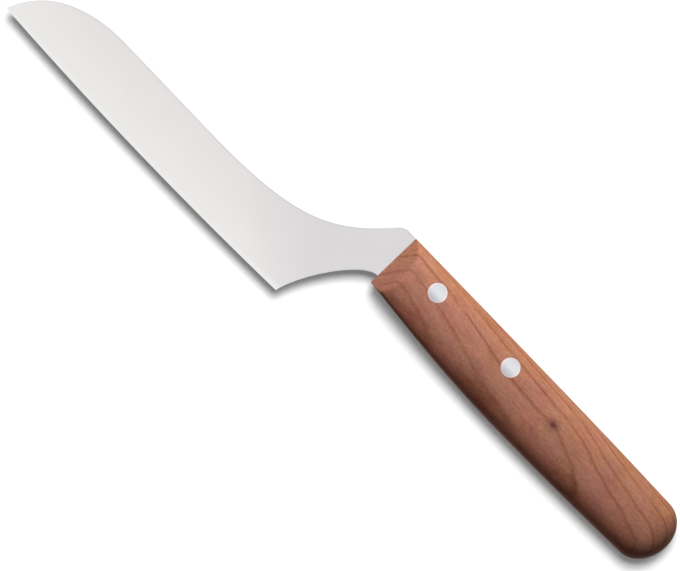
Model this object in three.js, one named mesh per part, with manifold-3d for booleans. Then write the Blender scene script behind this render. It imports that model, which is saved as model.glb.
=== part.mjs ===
// A cheese knife: a thin blade on a cranked neck, whose half tang sits in a slot sawn into the spine side of a
// one-piece wooden handle. Two rivets hold it, each a headed tube with a headed pin pressed into it.
// Millimetres. The knife lies on its side: +X runs from the blade to the butt, +Y from the cutting edge to the
// spine, and +Z is up. The pieces are drawn from the front end of the handle's axis, in the blade's middle plane,
// and the finished knife is then set down with its origin under the middle of its box.

import * as THREE from "three";
import { LoftGeometry } from "three/addons/geometries/LoftGeometry.js";
import { mergeVertices } from "three/addons/utils/BufferGeometryUtils.js";
import Module from "manifold-3d";

// Handle: lengths from its front end, heights from its axis
const HANDLE_LENGTH = 113.5;
const HANDLE_THICKNESS = 14;
const SIDE_FLAT_WIDTH = 5; // strip sanded flat along the middle of each side
const SPINE_AT_FRONT = 9.25;
const SPINE_CROWN = 9.55;
const SPINE_CROWN_AT = 72;
const SPINE_AT_BUTT = 9.15;
const BELLY_AT_FRONT = 8.8;
const BELLY_DEPTH = 11.95;
const BELLY_DEPTH_AT = 51.5;
const BELLY_AT_BUTT = 10.3;
const BUTT_ROUNDING = 8; // length of the domed end
const BUTT_APEX = -0.15; // height of the dome's furthest point
const FRONT_SETBACK = 5.5; // how far each slanted front cut runs back along the side
const FRONT_LIP = 0.3; // square end grain left beside the slot

// Blade and neck: lengths from the handle's front end, heights from its axis
const BLADE_THICKNESS = 1.4;
const EDGE_LENGTH = 112; // heel to tip
const HEEL_AHEAD = 17.2;
const BLADE_SPINE_DROP = 12.3;
const BLADE_HEIGHT = 17.8; // spine to heel
const EDGE_BULGE = 1.2; // of the cutting edge past the straight line from heel to tip
const BEVEL_HEIGHT = 0.6;
const BEVEL_THICKNESS = 0.35; // of the blade where the bevel starts
const EDGE_THICKNESS = 0.08;
const TIP_CURVE_LENGTH = 31.2; // from the tip back to the straight part of the spine
const TIP_CURVE_ANGLE = THREE.MathUtils.degToRad(71); // of the rounded nose where it meets the edge
const TIP_SPINE_PULL = 15.5;
const TIP_EDGE_PULL = 12.7;
const SWEEP_LENGTH = 57.2; // from the neck's corner forward to the straight part of the spine
const SWEEP_SLOPE = THREE.MathUtils.degToRad(50); // of the neck where it meets its corner
const SWEEP_SPINE_PULL = 35.5;
const SWEEP_CORNER_PULL = 19;
const NECK_LAND = 2.75; // straight run in line with the handle's spine
const NECK_CORNER_RADIUS = 4.1;
const HEEL_CURVE_ANGLE = THREE.MathUtils.degToRad(78.8); // of the neck's lower edge where it leaves the heel
const HEEL_PULL = 8.5;
const NECK_PULL = 5.5;
const TANG_COVER = 2.7; // wood below the tang at the handle's front
const TANG_PAST_RIVET = 13; // tang behind the rear rivet, along the spine
const TANG_END_RADIUS = 30; // of the saw that cuts the slot's end

// Rivets
const FRONT_RIVET_AT = 15.4;
const RIVET_SPACING = 29.9;
const FRONT_RIVET_RISE = 2.9; // from the handle's axis towards the spine
const REAR_RIVET_RISE = 3.2;
const RIVET_PIN_DIAMETER = 2.4;
const RIVET_TUBE_WALL = 0.65;
const RIVET_HEAD_LIP = 0.95; // of the head around the tube
const RIVET_HEAD_SINK = 2.6; // seat of the head below the handle's flat side

// Clearances, all the way round
const SLOT_CLEARANCE = 0.15;
const RIVET_CLEARANCE = 0.15;

// Fineness of the curves, and how far a cutting shape reaches past what it cuts
const CURVE_STEPS = 20;
const ROUND_STEPS = 24;
const HANDLE_STATIONS = 22;
const DOME_STATIONS = 8;
const SECTION_ARC_STEPS = 14;
const OVERRUN = 2;
const SAME_POINT = 1e-5; // corners closer than this are one

// Sizes that follow from the ones above
const handleHalfThickness = HANDLE_THICKNESS / 2;
const bladeHalfThickness = BLADE_THICKNESS / 2;
const slotHalfWidth = bladeHalfThickness + SLOT_CLEARANCE;
const tangFloor = TANG_COVER - BELLY_AT_FRONT;
const edgeBase = -BLADE_SPINE_DROP - BLADE_HEIGHT;
const heel = new THREE.Vector2(-HEEL_AHEAD, edgeBase);
const tip = new THREE.Vector2(-HEEL_AHEAD - EDGE_LENGTH, edgeBase);
const rearRivetAt = FRONT_RIVET_AT + RIVET_SPACING;
const tangEnd = rearRivetAt + TANG_PAST_RIVET;
const pinRadius = RIVET_PIN_DIAMETER / 2;
const rivetBoreRadius = pinRadius + RIVET_CLEARANCE;
const tubeRadius = rivetBoreRadius + RIVET_TUBE_WALL;
const headRadius = tubeRadius + RIVET_HEAD_LIP;
const headSeat = handleHalfThickness - RIVET_HEAD_SINK;
const rivets = [
  { name: "front_rivet", x: FRONT_RIVET_AT, y: FRONT_RIVET_RISE },
  { name: "rear_rivet", x: rearRivetAt, y: REAR_RIVET_RISE },
];

const wasm = await Module();
wasm.setup();

// A closed geometry as a solid that can be joined and cut
function solid(geometry) {
  const bare = geometry.index ? geometry.toNonIndexed() : geometry.clone();
  bare.deleteAttribute("normal");
  bare.deleteAttribute("uv");
  const merged = mergeVertices(bare, SAME_POINT);
  const vertProperties = merged.attributes.position.array;
  const triVerts = new Uint32Array(merged.index.array);
  return new wasm.Manifold(new wasm.Mesh({ numProp: 3, vertProperties, triVerts }));
}

// A finished solid as a named mesh in its own material
function piece(name, finished, material) {
  const { vertProperties, triVerts } = finished.getMesh();
  const geometry = new THREE.BufferGeometry();
  geometry.setAttribute("position", new THREE.BufferAttribute(vertProperties, 3));
  geometry.setIndex(new THREE.BufferAttribute(triVerts, 1));
  geometry.computeVertexNormals();
  const mesh = new THREE.Mesh(geometry, material);
  mesh.name = name;
  return mesh;
}

// An outline in the XY plane, as thick on both sides of the middle plane
function plate(outline, halfThickness) {
  const options = { depth: 2 * halfThickness, bevelEnabled: false, curveSegments: CURVE_STEPS };
  return new THREE.ExtrudeGeometry(outline, options).translate(0, 0, -halfThickness);
}

// A round bar along Z
function bar(radius, low, high, x, y) {
  const cylinder = new THREE.CylinderGeometry(radius, radius, high - low, ROUND_STEPS);
  return cylinder.rotateX(Math.PI / 2).translate(x, y, (low + high) / 2);
}

// A line that rises from the front to its peak and falls again to the butt, each time as a quarter of a wave
function waveLine(x, front, peak, peakAt, butt) {
  if (x < peakAt) {
    return front + (peak - front) * Math.sin((x / peakAt) * (Math.PI / 2));
  }
  const share = (x - peakAt) / (HANDLE_LENGTH - peakAt);
  return peak + (butt - peak) * (1 - Math.cos(share * (Math.PI / 2)));
}

const spineLine = (x) => waveLine(x, SPINE_AT_FRONT, SPINE_CROWN, SPINE_CROWN_AT, SPINE_AT_BUTT);
const bellyLine = (x) => -waveLine(x, BELLY_AT_FRONT, BELLY_DEPTH, BELLY_DEPTH_AT, BELLY_AT_BUTT);

// The handle's section at unit size: an ellipse with a flat on each side
function unitSection() {
  const middleHalfHeight = (SPINE_CROWN + BELLY_DEPTH) / 2;
  const flatAngle = Math.acos(SIDE_FLAT_WIDTH / 2 / middleHalfHeight);
  const points = [];
  for (const side of [0, Math.PI]) {
    for (let i = 0; i <= SECTION_ARC_STEPS; i++) {
      const angle = side + flatAngle * ((2 * i) / SECTION_ARC_STEPS - 1);
      points.push(new THREE.Vector2(Math.cos(angle), Math.sin(angle) / Math.sin(flatAngle)));
    }
  }
  return points;
}

// The handle's outside, before its front end is cut and its slot and holes are made
function handleBody() {
  const unit = unitSection();
  const domeStart = HANDLE_LENGTH - BUTT_ROUNDING;
  const section = (x, size) => {
    const middle = THREE.MathUtils.lerp(BUTT_APEX, (spineLine(x) + bellyLine(x)) / 2, size);
    const halfHeight = ((spineLine(x) - bellyLine(x)) / 2) * size;
    const halfThickness = handleHalfThickness * size;
    return unit.map((p) => new THREE.Vector3(x, middle + p.x * halfHeight, p.y * halfThickness));
  };
  const sections = [];
  for (let i = 0; i < HANDLE_STATIONS; i++) {
    sections.push(section((domeStart * i) / HANDLE_STATIONS, 1));
  }
  for (let i = 0; i <= DOME_STATIONS; i++) {
    const turn = ((i / DOME_STATIONS) * Math.PI) / 2;
    const size = i < DOME_STATIONS ? Math.cos(turn) : 0;
    sections.push(section(domeStart + BUTT_ROUNDING * Math.sin(turn), size));
  }
  return new LoftGeometry(sections, { capStart: true });
}

// What stays of the handle between the two slanted cuts at its front end
function frontRoof() {
  const ridge = slotHalfWidth + FRONT_LIP;
  const side = handleHalfThickness + OVERRUN;
  const slope = FRONT_SETBACK / (handleHalfThickness - ridge);
  const outline = new THREE.Shape();
  outline.moveTo(0, ridge);
  outline.lineTo((side - ridge) * slope, side);
  outline.lineTo(HANDLE_LENGTH + OVERRUN, side);
  outline.lineTo(HANDLE_LENGTH + OVERRUN, -side);
  outline.lineTo((side - ridge) * slope, -side);
  outline.lineTo(0, -ridge);
  const halfHeight = Math.max(SPINE_CROWN, BELLY_DEPTH) + OVERRUN;
  return plate(outline, halfHeight).rotateX(Math.PI / 2);
}

// The tang's rounded lower rear corner, and the slot's around it: from the floor up to the spine or to upright
function tangCorner(outline, clearance) {
  const rise = Math.min(TANG_END_RADIUS, spineLine(tangEnd) - tangFloor);
  const turn = Math.acos(1 - rise / TANG_END_RADIUS);
  const centre = new THREE.Vector2(tangEnd - TANG_END_RADIUS * Math.sin(turn), tangFloor + TANG_END_RADIUS);
  const radius = TANG_END_RADIUS + clearance;
  outline.lineTo(centre.x, centre.y - radius);
  outline.absarc(centre.x, centre.y, radius, -Math.PI / 2, turn - Math.PI / 2, false);
}

// The slot, open at the handle's front end and along its spine
function slotCut() {
  const top = SPINE_CROWN + OVERRUN;
  const outline = new THREE.Shape();
  outline.moveTo(-OVERRUN, tangFloor - SLOT_CLEARANCE);
  tangCorner(outline, SLOT_CLEARANCE);
  outline.lineTo(tangEnd + SLOT_CLEARANCE, top);
  outline.lineTo(-OVERRUN, top);
  return plate(outline, slotHalfWidth);
}

// The blade's outline, anticlockwise from the tip. Below the cutting edge it has something to spare.
function bladeOutline() {
  const spare = EDGE_BULGE + OVERRUN;
  const cornerCentre = new THREE.Vector2(-NECK_LAND, SPINE_AT_FRONT - NECK_CORNER_RADIUS);
  const slope = new THREE.Vector2(Math.cos(SWEEP_SLOPE), Math.sin(SWEEP_SLOPE));
  const sweepTop = new THREE.Vector2(
    cornerCentre.x - NECK_CORNER_RADIUS * slope.y,
    cornerCentre.y + NECK_CORNER_RADIUS * slope.x,
  );
  const sweepStart = sweepTop.x - SWEEP_LENGTH;
  const tipCurveStart = tip.x + TIP_CURVE_LENGTH;
  const outline = new THREE.Shape();
  outline.moveTo(tip.x, tip.y);
  outline.lineTo(tip.x, tip.y - spare);
  outline.lineTo(heel.x, heel.y - spare);
  outline.lineTo(heel.x, heel.y);
  outline.bezierCurveTo(
    heel.x + HEEL_PULL * Math.cos(HEEL_CURVE_ANGLE),
    heel.y + HEEL_PULL * Math.sin(HEEL_CURVE_ANGLE),
    -NECK_PULL,
    tangFloor,
    0,
    tangFloor,
  );
  tangCorner(outline, 0);
  for (let i = 0; i <= CURVE_STEPS; i++) {
    const x = tangEnd * (1 - i / CURVE_STEPS);
    outline.lineTo(x, spineLine(x));
  }
  outline.lineTo(cornerCentre.x, SPINE_AT_FRONT);
  outline.absarc(
    cornerCentre.x,
    cornerCentre.y,
    NECK_CORNER_RADIUS,
    Math.PI / 2,
    Math.PI / 2 + SWEEP_SLOPE,
    false,
  );
  outline.bezierCurveTo(
    sweepTop.x - SWEEP_CORNER_PULL * slope.x,
    sweepTop.y - SWEEP_CORNER_PULL * slope.y,
    sweepStart + SWEEP_SPINE_PULL,
    -BLADE_SPINE_DROP,
    sweepStart,
    -BLADE_SPINE_DROP,
  );
  outline.lineTo(tipCurveStart, -BLADE_SPINE_DROP);
  outline.bezierCurveTo(
    tipCurveStart - TIP_SPINE_PULL,
    -BLADE_SPINE_DROP,
    tip.x + TIP_EDGE_PULL * Math.cos(TIP_CURVE_ANGLE),
    tip.y + TIP_EDGE_PULL * Math.sin(TIP_CURVE_ANGLE),
    tip.x,
    tip.y,
  );
  return outline;
}

// The sheet's two faces: parallel above the blade's spine, then tapered down to the bevel and the cutting edge
function groundFaces() {
  const top = SPINE_CROWN + OVERRUN;
  const section = (x) => {
    const share = THREE.MathUtils.clamp((2 * (x - tip.x)) / EDGE_LENGTH - 1, -1, 1);
    const edge = edgeBase - EDGE_BULGE * (1 - share * share);
    const half = [
      [top, bladeHalfThickness],
      [-BLADE_SPINE_DROP, bladeHalfThickness],
      [edge + BEVEL_HEIGHT, BEVEL_THICKNESS / 2],
      [edge, EDGE_THICKNESS / 2],
    ];
    const otherHalf = half.map(([y, z]) => [y, -z]).reverse();
    return [...half, ...otherHalf].map(([y, z]) => new THREE.Vector3(x, y, z));
  };
  const sections = [section(tip.x - OVERRUN)];
  for (let i = 0; i <= CURVE_STEPS; i++) {
    sections.push(section(tip.x + (EDGE_LENGTH * i) / CURVE_STEPS));
  }
  sections.push(section(tangEnd + OVERRUN));
  return new LoftGeometry(sections, { capStart: true, capEnd: true });
}

function bladeSolid() {
  let blade = solid(plate(bladeOutline(), bladeHalfThickness + OVERRUN));
  blade = blade.intersect(solid(groundFaces()));
  for (const { x, y } of rivets) {
    const hole = bar(tubeRadius + RIVET_CLEARANCE, -BLADE_THICKNESS, BLADE_THICKNESS, x, y);
    blade = blade.subtract(solid(hole));
  }
  return blade;
}

function handleSolid(body) {
  let handle = body.intersect(solid(frontRoof())).subtract(solid(slotCut()));
  const past = handleHalfThickness + OVERRUN;
  const seat = headSeat - RIVET_CLEARANCE;
  for (const { x, y } of rivets) {
    const holes = [
      bar(tubeRadius + RIVET_CLEARANCE, -past, past, x, y),
      bar(headRadius + RIVET_CLEARANCE, seat, past, x, y),
      bar(headRadius + RIVET_CLEARANCE, -past, -seat, x, y),
    ];
    for (const hole of holes) {
      handle = handle.subtract(solid(hole));
    }
  }
  return handle;
}

// A round piece on a rivet's axis, from its profile of [radius, height], with its head ground flush with the handle
function turned(profile, { x, y }, body) {
  const points = profile.map(([radius, height]) => new THREE.Vector2(radius, height));
  const geometry = new THREE.LatheGeometry(points, ROUND_STEPS).rotateX(Math.PI / 2).translate(x, y, 0);
  return solid(geometry).intersect(body);
}

// The half with the hollow shank, its head on the upper side. Its end stays clear of the other half's head.
function rivetTube(rivet, body) {
  const top = handleHalfThickness + OVERRUN;
  const end = RIVET_CLEARANCE - headSeat;
  const profile = [
    [0, headSeat],
    [rivetBoreRadius, headSeat],
    [rivetBoreRadius, end],
    [tubeRadius, end],
    [tubeRadius, headSeat],
    [headRadius, headSeat],
    [headRadius, top],
    [0, top],
  ];
  return turned(profile, rivet, body);
}

// The half with the solid shank, its head on the lower side. Its end stays clear of the bottom of the other's bore.
function rivetPin(rivet, body) {
  const bottom = -handleHalfThickness - OVERRUN;
  const end = headSeat - RIVET_CLEARANCE;
  const profile = [
    [0, bottom],
    [headRadius, bottom],
    [headRadius, -headSeat],
    [pinRadius, -headSeat],
    [pinRadius, end],
    [0, end],
  ];
  return turned(profile, rivet, body);
}

const steel = new THREE.MeshStandardMaterial({ color: 0xdedddc, roughness: 0.35, metalness: 1 });
const fruitWood = new THREE.MeshStandardMaterial({ color: 0xb0745c, roughness: 0.6, metalness: 0 });
const aluminium = new THREE.MeshStandardMaterial({ color: 0xdfe1e7, roughness: 0.3, metalness: 1 });

const knife = new THREE.Group();
const body = solid(handleBody());
knife.add(piece("blade", bladeSolid(), steel));
knife.add(piece("handle", handleSolid(body), fruitWood));
for (const rivet of rivets) {
  knife.add(piece(`${rivet.name}_tube`, rivetTube(rivet, body), aluminium));
  knife.add(piece(`${rivet.name}_pin`, rivetPin(rivet, body), aluminium));
}

const box = new THREE.Box3().setFromObject(knife);
const middle = box.getCenter(new THREE.Vector3());
knife.position.set(-middle.x, -middle.y, -box.min.z);

export default knife;
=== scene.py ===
"""Finished look of a cheese knife: ground blade, fruit wood handle, two flush rivets.

All sizes are millimetres from the front end of the handle's axis, with +X to the butt, +Y to the
spine and +Z up from the middle of the blade's thickness. The meshes end up in metres, in the
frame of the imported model.
"""

import logging
import math
from bisect import bisect_right
from collections.abc import Iterable
from dataclasses import dataclass, field
from enum import Enum

import bmesh
import bpy
from mathutils import Matrix, Vector
from mathutils.geometry import interpolate_bezier


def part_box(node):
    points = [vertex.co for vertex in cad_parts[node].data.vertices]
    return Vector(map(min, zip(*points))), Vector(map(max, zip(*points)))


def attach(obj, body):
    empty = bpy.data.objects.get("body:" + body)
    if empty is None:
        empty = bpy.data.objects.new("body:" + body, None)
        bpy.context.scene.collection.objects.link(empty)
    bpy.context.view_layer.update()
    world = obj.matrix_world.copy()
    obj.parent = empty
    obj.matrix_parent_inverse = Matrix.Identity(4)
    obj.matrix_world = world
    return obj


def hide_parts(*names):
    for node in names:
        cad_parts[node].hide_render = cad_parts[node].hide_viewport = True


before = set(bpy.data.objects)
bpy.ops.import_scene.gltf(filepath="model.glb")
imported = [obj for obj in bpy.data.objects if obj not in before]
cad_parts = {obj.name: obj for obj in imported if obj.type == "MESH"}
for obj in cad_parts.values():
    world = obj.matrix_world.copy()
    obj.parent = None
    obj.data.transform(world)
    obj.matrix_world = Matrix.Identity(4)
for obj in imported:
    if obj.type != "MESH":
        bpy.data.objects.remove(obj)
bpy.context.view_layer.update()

LOG = logging.getLogger("cheese_knife")
MILLIMETRE = 0.001

Colour = tuple[float, float, float]
Point = tuple[float, float]
Curve = tuple[Point, ...]
Range = tuple[float, float]
Socket = bpy.types.NodeSocket
Setting = float | tuple[float, ...] | Socket

UNIT: Range = (0.0, 1.0)
WHITE: Colour = (1.0, 1.0, 1.0)
NOISE_MEAN = 0.5
NOISE_SWING: Range = (0.25, 0.75)  # where most of a noise lies
NOISE_REACH: Range = (0.2, 0.8)  # where nearly all of it lies
SAME_POINT = 1e-4
MIRROR_SEAM = 1e-5


class Slot(Enum):
    """Material slots of the record."""

    BLADE_STEEL = "blade_steel"
    HANDLE_WOOD = "handle_wood"
    RIVET_ALUMINIUM = "rivet_aluminium"


class RivetHalf(Enum):
    """The two halves of a rivet, by the side that their head is on."""

    TUBE = 1.0
    PIN = -1.0


class Mixing(Enum):
    """Ways to lay one colour over another."""

    COVER = "MIX"
    TINT = "MULTIPLY"


class RingTone(Enum):
    """Tones across one growth ring."""

    LINE = "line"
    HALF_LINE = "half_line"
    PLAIN = "plain"
    LATE = "late"


class NodeBoard:
    """Places and joins the nodes of one shader tree."""

    def __init__(self, tree: bpy.types.NodeTree) -> None:
        """Starts on an existing tree."""
        self.tree = tree

    def feed(self, socket: Socket, value: Setting) -> None:
        """Joins a socket to another one, or sets its value.

        Args:
            socket: Input that is fed.
            value: Output to join it to, or what it is set to.
        """
        if isinstance(value, Socket):
            self.tree.links.new(value, socket)
        elif socket.type == "RGBA":
            socket.default_value = (*value, 1.0)
        else:
            socket.default_value = value

    def add(
        self, kind: str, inputs: dict[str, Setting] | None = None, **options: object
    ) -> bpy.types.Node:
        """Places a node.

        Args:
            kind: Blender's name of the node type.
            inputs: Values or sockets for its inputs, by input name.
            options: Properties of the node itself.

        Returns:
            The node.
        """
        node = self.tree.nodes.new(kind)
        for name, option in options.items():
            setattr(node, name, option)
        for name, value in (inputs or {}).items():
            self.feed(node.inputs[name], value)
        return node

    def group(self, tree: bpy.types.NodeTree, **inputs: Setting) -> Socket:
        """Places a node group and returns its output."""
        return self.add("ShaderNodeGroup", inputs, node_tree=tree).outputs[0]

    def math(self, operation: str, *values: Setting) -> Socket:
        """Places a Math node.

        Args:
            operation: Blender's name of the operation.
            values: What it works on, in order.

        Returns:
            The result.
        """
        node = self.add("ShaderNodeMath", operation=operation)
        for socket, value in zip(node.inputs, values):
            self.feed(socket, value)
        return node.outputs["Value"]

    def product(self, first: Socket, *others: Setting) -> Socket:
        """Multiplies values.

        Args:
            first: First value.
            others: The rest of them.

        Returns:
            The product.
        """
        for other in others:
            first = self.math("MULTIPLY", first, other)
        return first

    def axes(self, place: Socket) -> bpy.types.NodeOutputs:
        """Splits a place into its X, Y and Z."""
        return self.add("ShaderNodeSeparateXYZ", {"Vector": place}).outputs

    def attribute(self, name: str) -> Socket:
        """Reads a value that the mesh keeps under a name."""
        return self.add("ShaderNodeAttribute", attribute_name=name).outputs["Fac"]

    def mapped(self, place: Socket, **change: Setting) -> Socket:
        """Changes a place by a Location, Rotation or Scale."""
        return self.add("ShaderNodeMapping", {"Vector": place, **change}).outputs["Vector"]

    def blend(
        self, share: Setting, under: Setting, over: Setting, way: Mixing = Mixing.COVER
    ) -> Socket:
        """Lays one colour over another.

        Args:
            share: How much of the upper colour is used, 0 to 1.
            under: Lower colour.
            over: Upper colour.
            way: How it is laid over.

        Returns:
            The blended colour.
        """
        node = self.add("ShaderNodeMix", data_type="RGBA", blend_type=way.value)
        colours = [socket for socket in node.inputs if socket.type == "RGBA"]
        self.feed(node.inputs["Factor"], share)
        self.feed(colours[0], under)
        self.feed(colours[1], over)
        return next(socket for socket in node.outputs if socket.type == "RGBA")

    def layers(
        self, colour: Setting, coats: Iterable[tuple[Setting, Setting]], way: Mixing = Mixing.TINT
    ) -> Socket:
        """Lays several colours over one.

        Args:
            colour: Lowest colour.
            coats: Pairs of share and colour, from the lowest to the highest.
            way: How they are laid over.

        Returns:
            The blended colour.
        """
        for share, over in coats:
            colour = self.blend(share, colour, over, way)
        return colour

    def spread(self, value: Setting, span: Range, result: Range, smooth: bool = False) -> Socket:
        """Maps a range of values to another one, clamped.

        Args:
            value: What is mapped.
            span: Start and end of its range.
            result: What they become.
            smooth: Eases in and out.

        Returns:
            The mapped value.
        """
        limits = dict(zip(("From Min", "From Max", "To Min", "To Max"), (*span, *result)))
        kind = "SMOOTHSTEP" if smooth else "LINEAR"
        inputs = {"Value": value, **limits}
        return self.add("ShaderNodeMapRange", inputs, interpolation_type=kind).outputs["Result"]

    def ease(self, value: Setting, span: Range, result: Range = UNIT) -> Socket:
        """Maps a range of values to another one, with a soft start and end."""
        return self.spread(value, span, result, smooth=True)

    def noise(
        self, place: Setting, scale: Setting, detail: float = 2.0, rough: float = 0.5
    ) -> Socket:
        """Places a noise pattern and returns its value."""
        settings = {"Vector": place, "Scale": scale, "Detail": detail, "Roughness": rough}
        return self.add("ShaderNodeTexNoise", settings).outputs[0]

    def curve(self, value: Setting, points: Curve, reach: Range = UNIT) -> Socket:
        """Runs a value along a curve through points.

        Args:
            value: What is mapped.
            points: Pairs of value and result, in rising order.
            reach: Lowest and highest result.

        Returns:
            The result, within the reach.
        """
        start, end = points[0][0], points[-1][0]
        low, high = reach
        node = self.add("ShaderNodeFloatCurve", {"Value": self.spread(value, (start, end), UNIT)})
        line = node.mapping.curves[0]
        while len(line.points) < len(points):
            line.points.new(0.5, 0.5)
        for knot, (at, result) in zip(line.points, points):
            knot.location = ((at - start) / (end - start), (result - low) / (high - low))
        node.mapping.update()
        return self.spread(node.outputs["Value"], UNIT, reach)

    def ramp(self, value: Setting, stops: list[tuple[float, Colour]]) -> Socket:
        """Turns a value into a colour between stops.

        Args:
            value: What is mapped, 0 to 1.
            stops: Pairs of place and colour, in rising order.

        Returns:
            The colour.
        """
        node = self.add("ShaderNodeValToRGB", {"Fac": value})
        elements = node.color_ramp.elements
        while len(elements) < len(stops):
            elements.new(1.0)
        for element, (place, colour) in zip(elements, stops):
            element.position = place
            element.color = (*colour, 1.0)
        return node.outputs["Color"]


def emptied(owner: bpy.types.Material | bpy.types.World) -> bpy.types.NodeTree:
    """Empties the node tree of a material or a world.

    Args:
        owner: Material or world.

    Returns:
        The tree.
    """
    owner.use_nodes = True
    owner.node_tree.nodes.clear()
    return owner.node_tree


def new_group(
    name: str, inputs: dict[str, str], outputs: dict[str, str]
) -> tuple[bpy.types.NodeTree, NodeBoard]:
    """Makes an empty shader node group.

    Args:
        name: Name of the group.
        inputs: Socket types of its inputs, by name.
        outputs: Socket types of its outputs, by name.

    Returns:
        The group and a board to place its nodes on.
    """
    tree = bpy.data.node_groups.new(name, "ShaderNodeTree")
    for side, sockets in (("INPUT", inputs), ("OUTPUT", outputs)):
        for label, kind in sockets.items():
            tree.interface.new_socket(label, in_out=side, socket_type=kind)
    return tree, NodeBoard(tree)


@dataclass(frozen=True)
class GrindMarks:
    """Fine straight scratches of a grinding belt, shared by the metals."""

    name: str = "grind_marks"
    layers: Curve = ((0.2, 0.35), (1.0, 0.4), (2.7, 0.25))  # density and weight
    detail: float = 1.0
    contrast: Range = (0.35, 0.65)

    def group(self) -> bpy.types.NodeTree:
        """Builds the group: Place is in millimetres with X across the scratches.

        Returns:
            The group, which puts out Lines, 0 to 1.
        """
        tree, board = new_group(
            self.name,
            {"Place": "NodeSocketVector", "Width": "NodeSocketFloat", "Length": "NodeSocketFloat"},
            {"Lines": "NodeSocketFloat"},
        )
        inlet = board.add("NodeGroupInput").outputs
        axes = board.axes(inlet["Place"])
        sizes = {"X": inlet["Width"], "Y": inlet["Length"], "Z": inlet["Length"]}
        parts = {axis: board.math("DIVIDE", axes[axis], size) for axis, size in sizes.items()}
        place = board.add("ShaderNodeCombineXYZ", parts).outputs[0]
        total: Setting = 0.0
        for density, weight in self.layers:
            noise = board.noise(place, density, self.detail)
            total = board.math("MULTIPLY_ADD", noise, weight, total)
        board.add("NodeGroupOutput", {"Lines": board.spread(total, self.contrast, UNIT)})
        return tree


@dataclass(frozen=True)
class CloudyTone:
    """Slow drift of tone and hue over a surface, shared by all finishes."""

    name: str = "cloudy_tone"
    detail: float = 3.0
    hue_share: float = 0.14
    saturation_share: float = 0.9

    def group(self) -> bpy.types.NodeTree:
        """Builds the group: clouds of Size millimetres tint a Color by an Amount.

        Returns:
            The group, which puts out the tinted Color.
        """
        tree, board = new_group(
            self.name,
            {
                "Place": "NodeSocketVector",
                "Size": "NodeSocketFloat",
                "Amount": "NodeSocketFloat",
                "Color": "NodeSocketColor",
            },
            {"Color": "NodeSocketColor"},
        )
        inlet = board.add("NodeGroupInput").outputs
        density = board.math("DIVIDE", 1.0, inlet["Size"])
        noise = {"Vector": inlet["Place"], "Scale": density, "Detail": self.detail}
        clouds = board.add("ShaderNodeTexNoise", noise).outputs["Color"]
        channels = board.add("ShaderNodeSeparateColor", {"Color": clouds}).outputs
        lifts = []
        for name in ("Red", "Green", "Blue"):
            lift = board.math("SUBTRACT", channels[name], NOISE_MEAN)
            lifts.append(board.product(lift, inlet["Amount"]))
        tinted = board.add(
            "ShaderNodeHueSaturation",
            {
                "Value": board.math("ADD", lifts[0], 1.0),
                "Hue": board.math("MULTIPLY_ADD", lifts[1], self.hue_share, 0.5),
                "Saturation": board.math("MULTIPLY_ADD", lifts[2], self.saturation_share, 1.0),
                "Color": inlet["Color"],
            },
        )
        board.add("NodeGroupOutput", {"Color": tinted.outputs["Color"]})
        return tree


@dataclass(frozen=True)
class Effects:
    """The node groups that several finishes use."""

    grind: bpy.types.NodeTree
    cloud: bpy.types.NodeTree


class FinishBoard(NodeBoard):
    """Board of a finish, with its millimetre grid and the shared node groups."""

    def __init__(self, material: bpy.types.Material, effects: Effects, place: Matrix) -> None:
        """Starts on the emptied tree of a material.

        Args:
            material: The material.
            effects: Shared node groups.
            place: Where the millimetre grid lies in the model's frame.
        """
        super().__init__(emptied(material))
        self.effects = effects
        back = place.inverted()
        source = self.add("ShaderNodeTexCoord").outputs["Object"]
        self.grid = self.mapped(source, Location=back.to_translation(), Scale=back.to_scale())


@dataclass(frozen=True)
class Finish:
    """A procedural finish on a millimetre grid, with a slow drift of tone."""

    name: str
    roughness: Range  # where its pattern is low and high
    relief_strength: float
    relief_depth: float
    cloud_size: float
    cloud_amount: float

    def material(self, effects: Effects, place: Matrix) -> bpy.types.Material:
        """Builds the material.

        Args:
            effects: Shared node groups.
            place: Where the millimetre grid lies in the model's frame.

        Returns:
            The material.
        """
        material = bpy.data.materials.new(self.name)
        board = FinishBoard(material, effects, place)
        shader = board.add("ShaderNodeBsdfPrincipled", self.surface(board))
        board.add("ShaderNodeOutputMaterial", {"Surface": shader.outputs["BSDF"]})
        return material

    def surface(self, board: FinishBoard) -> dict[str, Setting]:
        """Lays out the finish and returns the settings of its shader, by input name."""
        raise NotImplementedError

    def clouded(self, board: FinishBoard, colour: Socket) -> Socket:
        """Lets a colour drift in soft clouds."""
        inputs = {"Place": board.grid, "Size": self.cloud_size, "Amount": self.cloud_amount}
        return board.group(board.effects.cloud, **inputs, Color=colour)

    def relief(self, board: FinishBoard, height: Socket) -> Socket:
        """Turns a pattern of heights into a relief.

        Args:
            board: Board of the finish.
            height: The pattern.

        Returns:
            Normal of the surface.
        """
        distance = self.relief_depth * MILLIMETRE
        settings = {"Height": height, "Strength": self.relief_strength, "Distance": distance}
        return board.add("ShaderNodeBump", settings).outputs["Normal"]


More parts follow.
